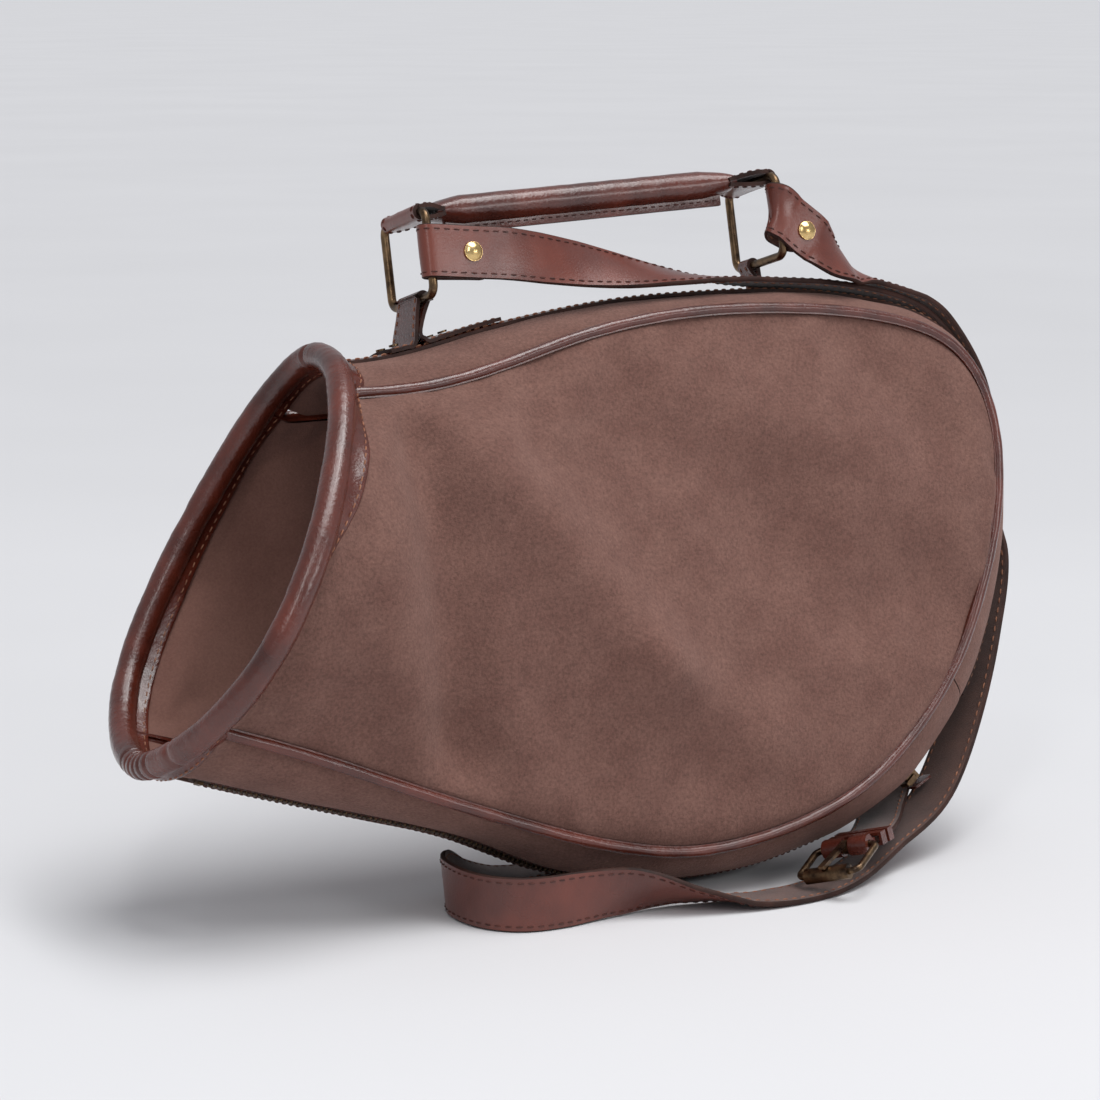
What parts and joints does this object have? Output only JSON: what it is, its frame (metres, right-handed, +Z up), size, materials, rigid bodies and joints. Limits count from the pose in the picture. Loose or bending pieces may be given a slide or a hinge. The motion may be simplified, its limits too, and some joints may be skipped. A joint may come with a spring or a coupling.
{
  "type": "open-mouth bag",
  "caption": "Pear-shaped suede bag with an open padded mouth, leather piping, a grip on two wire rings, an open zip and an unbuckled strap that it leans back on.",
  "frame": {"origin": "on the floor, under the middle of the whole object with its strap as it stands", "axes": "+X along the bag from the mouth to the round end, +Y from the front panel to the back, +Z up"},
  "size_m": [0.4683, 0.1702, 0.3234],
  "materials": {
    "suede": "matt nap",
    "leather": "polished",
    "bronze": "antique",
    "brass": "satin",
    "tape": "woven",
    "core": "braided cord"
  },
  "bodies": {
    "bag": {"front_panel": "suede", "back_panel": "suede", "gusset_top": "suede", "gusset_zip_front": "suede", "gusset_zip_back": "suede", "zip_tape_front": "tape", "zip_tape_back": "tape", "zip_teeth_front": "brass", "zip_teeth_back": "brass", "zip_stops": "brass", "piping_front": "leather", "piping_back": "leather", "mouth_rim": "leather", "gusset_strip": "leather", "base_tab_left": "leather", "base_tab_right": "leather", "tab_rivets": "brass", "buckle_strap": "leather", "long_strap": "leather", "buckle_chape": "leather", "keeper_fixed": "leather"},
    "left_ring": {"ring_left": "bronze", "buckle_strap_head": "leather", "stud_left": "brass"},
    "right_ring": {"ring_right": "bronze", "long_strap_head": "leather", "stud_right": "brass"},
    "grip": {"grip_cover": "leather", "grip_core": "core", "grip_welt": "leather", "grip_loop_left": "leather", "grip_loop_right": "leather"},
    "buckle": {"buckle_frame": "bronze"},
    "roller": {"buckle_roller": "bronze"},
    "prong": {"buckle_prong": "bronze"},
    "sliding_keeper": {"keeper_sliding": "leather"},
    "slider": {"zip_slider": "bronze"},
    "zip_link": {"zip_link": "bronze", "zip_pull": "leather"}
  },
  "joints": [
    {"name": "left_ring_swing", "type": "hinge", "parent": "bag", "child": "left_ring", "pos_m": [-0.0756, 0.04709, 0.26656], "axis": [0, 0.9703, -0.2419], "range_deg": [-24, 24], "deforming": ["buckle_strap_head"]},
    {"name": "grip_swing", "type": "hinge", "parent": "left_ring", "child": "grip", "pos_m": [-0.0756, 0.05628, 0.30343], "axis": [0, 0.9703, -0.2419], "range_deg": [-24, 24]},
    {"name": "right_ring_swing", "type": "hinge", "parent": "bag", "child": "right_ring", "pos_m": [0.1084, 0.04975, 0.27723], "axis": [0, 0.9703, -0.2419], "range_deg": [-24, 24], "deforming": ["long_strap_head"]},
    {"name": "buckle_swing", "type": "hinge", "parent": "bag", "child": "buckle", "pos_m": [0.0919, -0.0582, 0.0184], "axis": [-0.5106, 0.8236, -0.2471], "range_deg": [0, 30]},
    {"name": "prong_swing", "type": "hinge", "parent": "buckle", "child": "prong", "pos_m": [0.0919, -0.0582, 0.0184], "axis": [-0.5106, 0.8236, -0.2471], "range_deg": [0, 50]},
    {"name": "roller_turn", "type": "hinge", "parent": "buckle", "child": "roller", "pos_m": [0.0726, -0.07234, 0.01115], "axis": [-0.5106, 0.8236, -0.2471], "continuous": true},
    {"name": "keeper_slide", "type": "slide", "parent": "bag", "child": "sliding_keeper", "axis": [0.8425, 0.5366, 0.0474], "range_m": [-0.002, 0.001]},
    {"name": "zip_travel", "type": "hinge", "parent": "bag", "child": "slider", "pos_m": [0.08005, 0.01315, 0.13044], "axis": [0, 0.9703, -0.2419], "range_deg": [-2, 0]},
    {"name": "link_swing", "type": "hinge", "parent": "slider", "child": "zip_link", "pos_m": [0.15781, -0.01064, 0.03501], "axis": [0, 0.9703, -0.2419], "range_deg": [-6, 2]}
  ],
  "couplings": [
    {"joint": "grip_swing", "follows": "left_ring_swing", "ratio": -1},
    {"joint": "right_ring_swing", "follows": "left_ring_swing", "ratio": 1}
  ]
}
